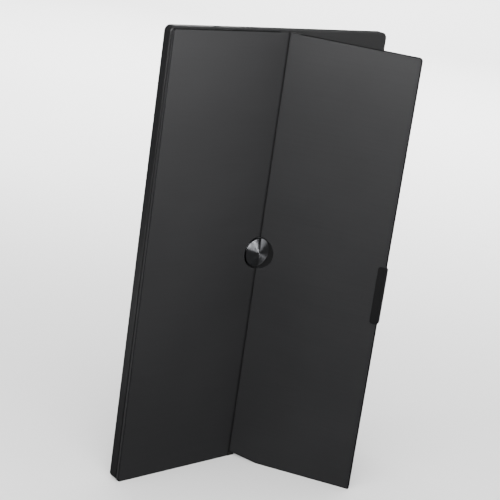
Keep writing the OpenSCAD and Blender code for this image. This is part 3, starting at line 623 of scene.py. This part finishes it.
hubSettings = {
    "radius": mm(12.5),
    "tip": mm(2.5),  # above the cover's outer face
    "rim": mm(0.2),
    "edgeRound": mm(0.35),
    "tipRound": mm(1.2),
    "crown": mm(0.35),  # how far the cone bulges halfway down, so it shines most near the rim
    "ringPitch": mm(0.5),  # turning marks, drawn coarser than the real ones
    "ringDepth": mm(0.012),
    "spigot": mm(3),  # radius
    "sides": 128,
    "stepsPerRing": 4,
    "edgeSteps": 5,
    "smoothUnder": 40,  # degrees
}


def hubProfile(settings):
    # from the tip over the cone and the rounded edge, down the side and along the spigot
    radius, edge, tipRound = settings["radius"], settings["edgeRound"], settings["tipRound"]
    tipY = coverOuterY - settings["tip"]
    rimY = coverOuterY - settings["rim"]
    coneRadius = radius - edge
    slope = (rimY - tipY) / coneRadius
    points = []
    steps = int(radius / (settings["ringPitch"] / settings["stepsPerRing"]))
    for i in range(steps + 1):
        share = i / steps
        r = coneRadius * share
        y = tipY + slope * r - 4 * settings["crown"] * share * (1 - share)
        if r < tipRound:
            y += slope * (tipRound - r) ** 2 / (2 * tipRound)
        wave = 0.5 - 0.5 * math.cos(2 * math.pi * r / settings["ringPitch"])
        points.append((r, y + settings["ringDepth"] * wave))
    for i in range(1, settings["edgeSteps"] + 1):
        turn = math.pi / 2 * i / settings["edgeSteps"]
        points.append((coneRadius + edge * math.sin(turn), rimY + edge * (1 - math.cos(turn))))
    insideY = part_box("hub_disc")[1].y
    points += [(radius, housingBackY), (settings["spigot"], housingBackY)]
    points += [(settings["spigot"], insideY), (0, insideY)]
    return points


def makeHub(settings):
    points = hubProfile(settings)
    sides = settings["sides"]
    shape = bmesh.new()
    rows = []
    for r, y in points:
        row = []
        for k in range(sides if r else 1):
            turn = 2 * math.pi * k / sides
            row.append(shape.verts.new((r * math.cos(turn), y, midZ + r * math.sin(turn))))
        rows.append(row)
    ringMap = shape.loops.layers.uv.new("ringMap")
    last = len(rows) - 1
    for i in range(last):
        upper, lower = rows[i], rows[i + 1]
        for k in range(sides):
            after = (k + 1) % sides
            corners = [(upper[k % len(upper)], k, i), (lower[k % len(lower)], k, i + 1)]
            if len(lower) > 1:
                corners.append((lower[after], k + 1, i + 1))
            if len(upper) > 1:
                corners.append((upper[after], k + 1, i))
            made = shape.faces.new([corner[0] for corner in corners])
            for loop, (_, turn, row) in zip(made.loops, corners):
                loop[ringMap].uv = (row / last, turn / sides)  # u runs outwards
    bmesh.ops.recalc_face_normals(shape, faces=shape.faces)
    mesh = bpy.data.meshes.new("hubDisc")
    shape.to_mesh(mesh)
    shape.free()
    smoothByAngle(mesh, settings["smoothUnder"])
    piece = linkPiece("hubDisc", mesh)
    dress(piece, "hub")
    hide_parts("hub_disc")
    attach(piece, "monitor")


makeHub(hubSettings)
print("hub made")


contactSettings = {
    "count": 10,
    "width": mm(0.35),
    "thickness": mm(0.08),
    "length": mm(2.2),
    "endMargin": mm(0.9),
    "frontMargin": mm(0.3),
}


def makeContacts(settings):
    # gilt contact strips in a row along the socket's tongue
    lowest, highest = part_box("usb_tongue")
    count = settings["count"]
    span = highest.x - lowest.x - 2 * settings["endMargin"]
    faceY = lowest.y - settings["thickness"] / 2
    middleZ = highest.z - settings["frontMargin"] - settings["length"] / 2
    tree = bpy.data.node_groups.new("contactRow", "GeometryNodeTree")
    sockets = {}
    for name, kind in (("Count", "NodeSocketInt"), ("Start", "NodeSocketVector"),
                       ("Step", "NodeSocketVector"), ("Size", "NodeSocketVector")):
        sockets[name] = tree.interface.new_socket(name, in_out="INPUT", socket_type=kind)
    tree.interface.new_socket("Geometry", in_out="OUTPUT", socket_type="NodeSocketGeometry")
    given = addNode(tree, "NodeGroupInput").outputs
    row = addNode(
        tree, "GeometryNodeMeshLine",
        {"Count": given["Count"], "Start Location": given["Start"], "Offset": given["Step"]},
    )
    strip = addNode(tree, "GeometryNodeMeshCube", {"Size": given["Size"]})
    placed = addNode(tree, "GeometryNodeInstanceOnPoints", {"Points": row, "Instance": strip})
    real = addNode(tree, "GeometryNodeRealizeInstances", {0: placed})
    coloured = addNode(
        tree, "GeometryNodeSetMaterial", {"Geometry": real, "Material": finishes["contact"]}
    )
    addNode(tree, "NodeGroupOutput", {0: coloured})
    piece = linkPiece("contactRow", bpy.data.meshes.new("contactRow"))
    modifier = piece.modifiers.new("contactRow", "NODES")
    modifier.node_group = tree
    values = {
        "Count": count,
        "Start": (lowest.x + settings["endMargin"], faceY, middleZ),
        "Step": (span / (count - 1), 0, 0),
        "Size": (settings["width"], settings["thickness"], settings["length"]),
    }
    for name, value in values.items():
        modifier[sockets[name].identifier] = value
    applyModifiers(piece)
    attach(piece, "monitor")


makeContacts(contactSettings)
print("contacts made")


floorSettings = {
    "dark": "#f0f0f0",
    "light": "#f5f5f5",
    "fibre": 2.5,  # mm
    "reach": 4.0,  # metres, as are the next three
    "halfWidth": 6.0,
    "wallHeight": 3.0,
    "sweepRadius": 1.2,
    "sweepSteps": 12,
    "heading": (0.69, 0.67, 0),
}


def makeFloor(settings):
    # one pale sheet of paper that curves up behind the object
    reach, radius, steps = settings["reach"], settings["sweepRadius"], settings["sweepSteps"]
    profile = [(-reach, 0.0)]
    for i in range(steps + 1):
        turn = math.pi / 2 * i / steps
        ahead = reach - radius + radius * math.sin(turn)
        profile.append((ahead, radius * (1 - math.cos(turn))))
    profile.append((reach, settings["wallHeight"]))
    heading = Vector(settings["heading"]).normalized()
    side = Vector((-heading.y, heading.x, 0)) * settings["halfWidth"]
    shape = bmesh.new()
    rows = [
        [shape.verts.new(heading * d + side * s + Vector((0, 0, h))) for s in (1, -1)]
        for d, h in profile
    ]
    for low, high in zip(rows, rows[1:]):
        shape.faces.new([low[0], low[1], high[1], high[0]])
    mesh = bpy.data.meshes.new("studioFloor")
    shape.to_mesh(mesh)
    shape.free()
    mesh.shade_smooth()
    floor = linkPiece("studioFloor", mesh)
    material, tree, shader, place = startMaterial(
        "paleStudioPaper", {"Roughness": 0.9, "Specular IOR Level": 0.2}
    )
    fibre = addNode(
        tree, "ShaderNodeTexNoise", {"Vector": place, "Scale": 1 / mm(settings["fibre"])}
    )
    finishMaterial(tree, shader, settings, fibre)
    mesh.materials.append(material)
    floor.visible_glossy = False  # the photograph shows no floor in the gloss
    floor.visible_diffuse = False


# places and sizes in metres, power in watts
lightSettings = {
    # the main light, and the hub's bright wedge
    "frontSoftbox": {"place": (-0.47, -0.629, 0.582), "aim": (-0.03, 0, 0.22),
                     "size": (1.0, 0.5), "power": 13.3},
    # along the back from the left
    "leftSoftbox": {"place": (-1.443, 0, 0.991), "aim": (-0.03, 0, 0.24), "size": (0.8, 0.8),
                    "power": 8.5},
    # past the flap's free edge on to the far half of the back, so the fold stays darker
    "rightSoftbox": {"place": (1.09, -1.12, 0.463), "aim": (-0.03, 0, 0.24),
                     "size": (0.8, 0.8), "power": 1.6},
    "sideSoftbox": {"place": (0.849, -0.703, 0.621), "aim": (-0.05, 0, 0.25),
                    "size": (1.1, 1.1), "power": 4},
    # the upper left corner
    "cornerLight": {"place": (-0.2, -0.14, 0.44), "aim": (-0.09, 0, 0.33),
                    "size": (0.08, 0.08), "power": 0.34},
    # the housing's left side
    "edgeLight": {"place": (-0.4, 0.12, 0.07), "aim": (-0.118, 0, 0.03),
                  "size": (0.12, 0.1), "power": 0.42},
    # the hub, from in front and a little to the right
    "hubSoftbox": {"place": (0.41, -0.915, 0.3), "aim": (0, -0.01, 0.191),
                   "size": (0.18, 0.18), "power": 1.6},
    # the housing's top and its rounded edge
    "rimLight": {"place": (0.481, 0.888, 0.6), "aim": (-0.1, 0, 0.38), "size": (0.3, 0.3),
                 "power": 1.2},
    "edgeSoftbox": {"place": (0.5, -0.1, 1.05), "aim": (0, 0, 0.38), "size": (0.3, 0.3),
                    "power": 1.4},
    # the screen's side, for views from there
    "screenSoftbox": {"place": (0, 1.4, 0.23), "aim": (0, 0, 0.23), "size": (0.22, 0.28),
                      "power": 5},
    "ceiling": {"place": (0, 0, 4.5), "aim": (0, 0, 0.2), "size": (6, 6), "power": 85},
    # shines away from the object
    "backgroundWash": {"place": (0.919, 0.919, 2.452), "aim": (3.2, 3.2, 0.3),
                       "size": (3.0, 1.0), "power": 520},
}


def makeLights(settings):
    for name, light in settings.items():
        data = bpy.data.lights.new(name, "AREA")
        data.shape = "RECTANGLE"
        data.size, data.size_y = light["size"]
        data.energy = light["power"]
        lamp = bpy.data.objects.new(name, data)
        bpy.context.scene.collection.objects.link(lamp)
        lamp.location = light["place"]
        heading = Vector(light["aim"]) - Vector(light["place"])
        lamp.rotation_euler = heading.to_track_quat("-Z", "Y").to_euler()
        lamp.visible_camera = False


domeSettings = {"strength": 0.12}


def makeDome(settings):
    # an even, weak light from all round
    world = bpy.data.worlds.new("softDome")
    bpy.context.scene.world = world
    world.use_nodes = True
    tree = world.node_tree
    tree.nodes.clear()
    background = addNode(
        tree, "ShaderNodeBackground", {"Color": (1, 1, 1, 1), "Strength": settings["strength"]}
    )
    addNode(tree, "ShaderNodeOutputWorld", {"Surface": background})


makeFloor(floorSettings)
makeLights(lightSettings)
makeDome(domeSettings)
print("studio made")
